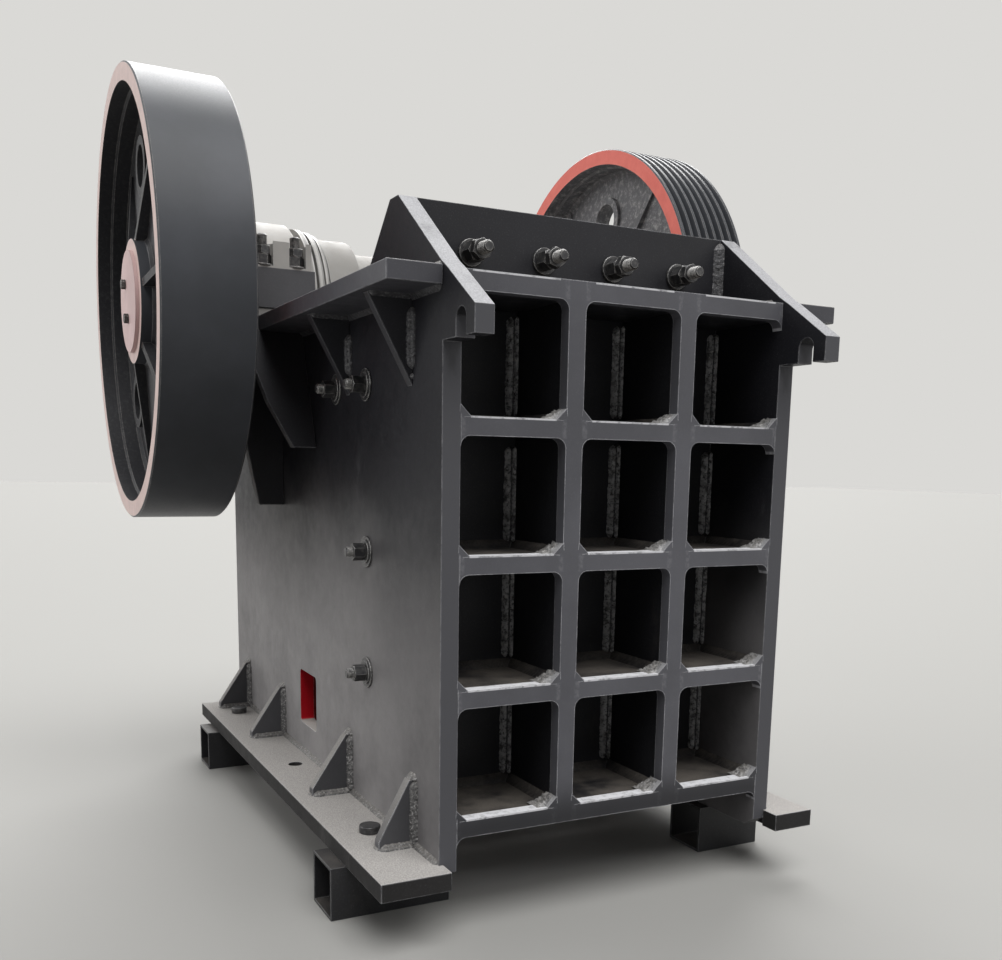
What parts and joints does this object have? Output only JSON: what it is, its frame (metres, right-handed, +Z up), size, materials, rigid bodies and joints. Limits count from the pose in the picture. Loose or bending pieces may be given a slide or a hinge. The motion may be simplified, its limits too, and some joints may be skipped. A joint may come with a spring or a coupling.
{
  "type": "jaw crusher",
  "caption": "Single-toggle jaw crusher with a ribbed front wall, thick side plates, an eccentric shaft with plain and grooved flywheels, and a swing jaw facing a ridged fixed jaw.",
  "frame": {"origin": "midway between the two open middle holes of the left and right foot plates, at the underside of the feet", "axes": "+X along the shaft towards the grooved pulley, +Y from the ribbed front wall to the rear wall, +Z up"},
  "size_m": [2.485, 2.852, 2.938],
  "materials": {
    "frame_paint": "dark graphite paint, satin, with light edge wear",
    "foot_paint": "dark paint under beige dust",
    "black_fastener": "blackened steel, dull",
    "tube_black": "black paint, dusty",
    "red_paint": "red paint, satin",
    "jaw_steel": "raw cast manganese steel, rough",
    "light_grey_paint": "light grey primer, matt",
    "shaft_steel": "turned steel, oiled",
    "wheel_paint": "dark graphite paint, satin",
    "hub_pink": "pale red primer, matt"
  },
  "bodies": {
    "frame": {"front_lattice": "frame_paint", "front_uprights": "frame_paint", "front_levels": "frame_paint", "front_wall": "frame_paint", "jaw_clamp": "frame_paint", "side_plate_left": "frame_paint", "side_plate_right": "frame_paint", "side_flange_left": "frame_paint", "side_flange_right": "frame_paint", "flange_gussets_left": "frame_paint", "flange_gussets_right": "frame_paint", "foot_gussets_left": "frame_paint", "foot_gussets_right": "frame_paint", "rear_wall": "frame_paint", "rear_ribs": "frame_paint", "toggle_block": "frame_paint", "bearing_base_left": "frame_paint", "bearing_base_right": "frame_paint", "foot_left": "foot_paint", "foot_right": "foot_paint", "clamp_bolts": "black_fastener", "foot_plugs": "black_fastener", "cheek_bolts_left": "black_fastener", "cheek_bolts_right": "black_fastener", "bearing_studs_left": "black_fastener", "bearing_studs_right": "black_fastener", "tension_rod": "black_fastener", "support_tubes_left": "tube_black", "support_tubes_right": "tube_black", "toggle_plate": "red_paint", "tension_beam": "red_paint", "tension_spring": "red_paint", "fixed_jaw_plate": "jaw_steel", "cheek_plate_left": "jaw_steel", "cheek_plate_right": "jaw_steel", "bearing_cap_left": "light_grey_paint", "bearing_cap_right": "light_grey_paint", "seal_rings": "light_grey_paint"},
    "rotor": {"eccentric_shaft": "shaft_steel", "flywheel": "wheel_paint", "grooved_pulley": "wheel_paint", "hub_discs": "hub_pink"},
    "jaw": {"swing_jaw": "light_grey_paint", "swing_jaw_plate": "jaw_steel"}
  },
  "joints": [
    {"name": "shaft_turn", "type": "hinge", "parent": "frame", "child": "rotor", "pos_m": [0, 0.527, 1.9], "axis": [1, 0, 0], "continuous": true},
    {"name": "jaw_on_eccentric", "type": "hinge", "parent": "rotor", "child": "jaw", "pos_m": [0, 0.527, 1.886], "axis": [1, 0, 0], "continuous": true}
  ],
  "couplings": [
    {"joint": "jaw_on_eccentric", "follows": "shaft_turn", "ratio": -1}
  ]
}
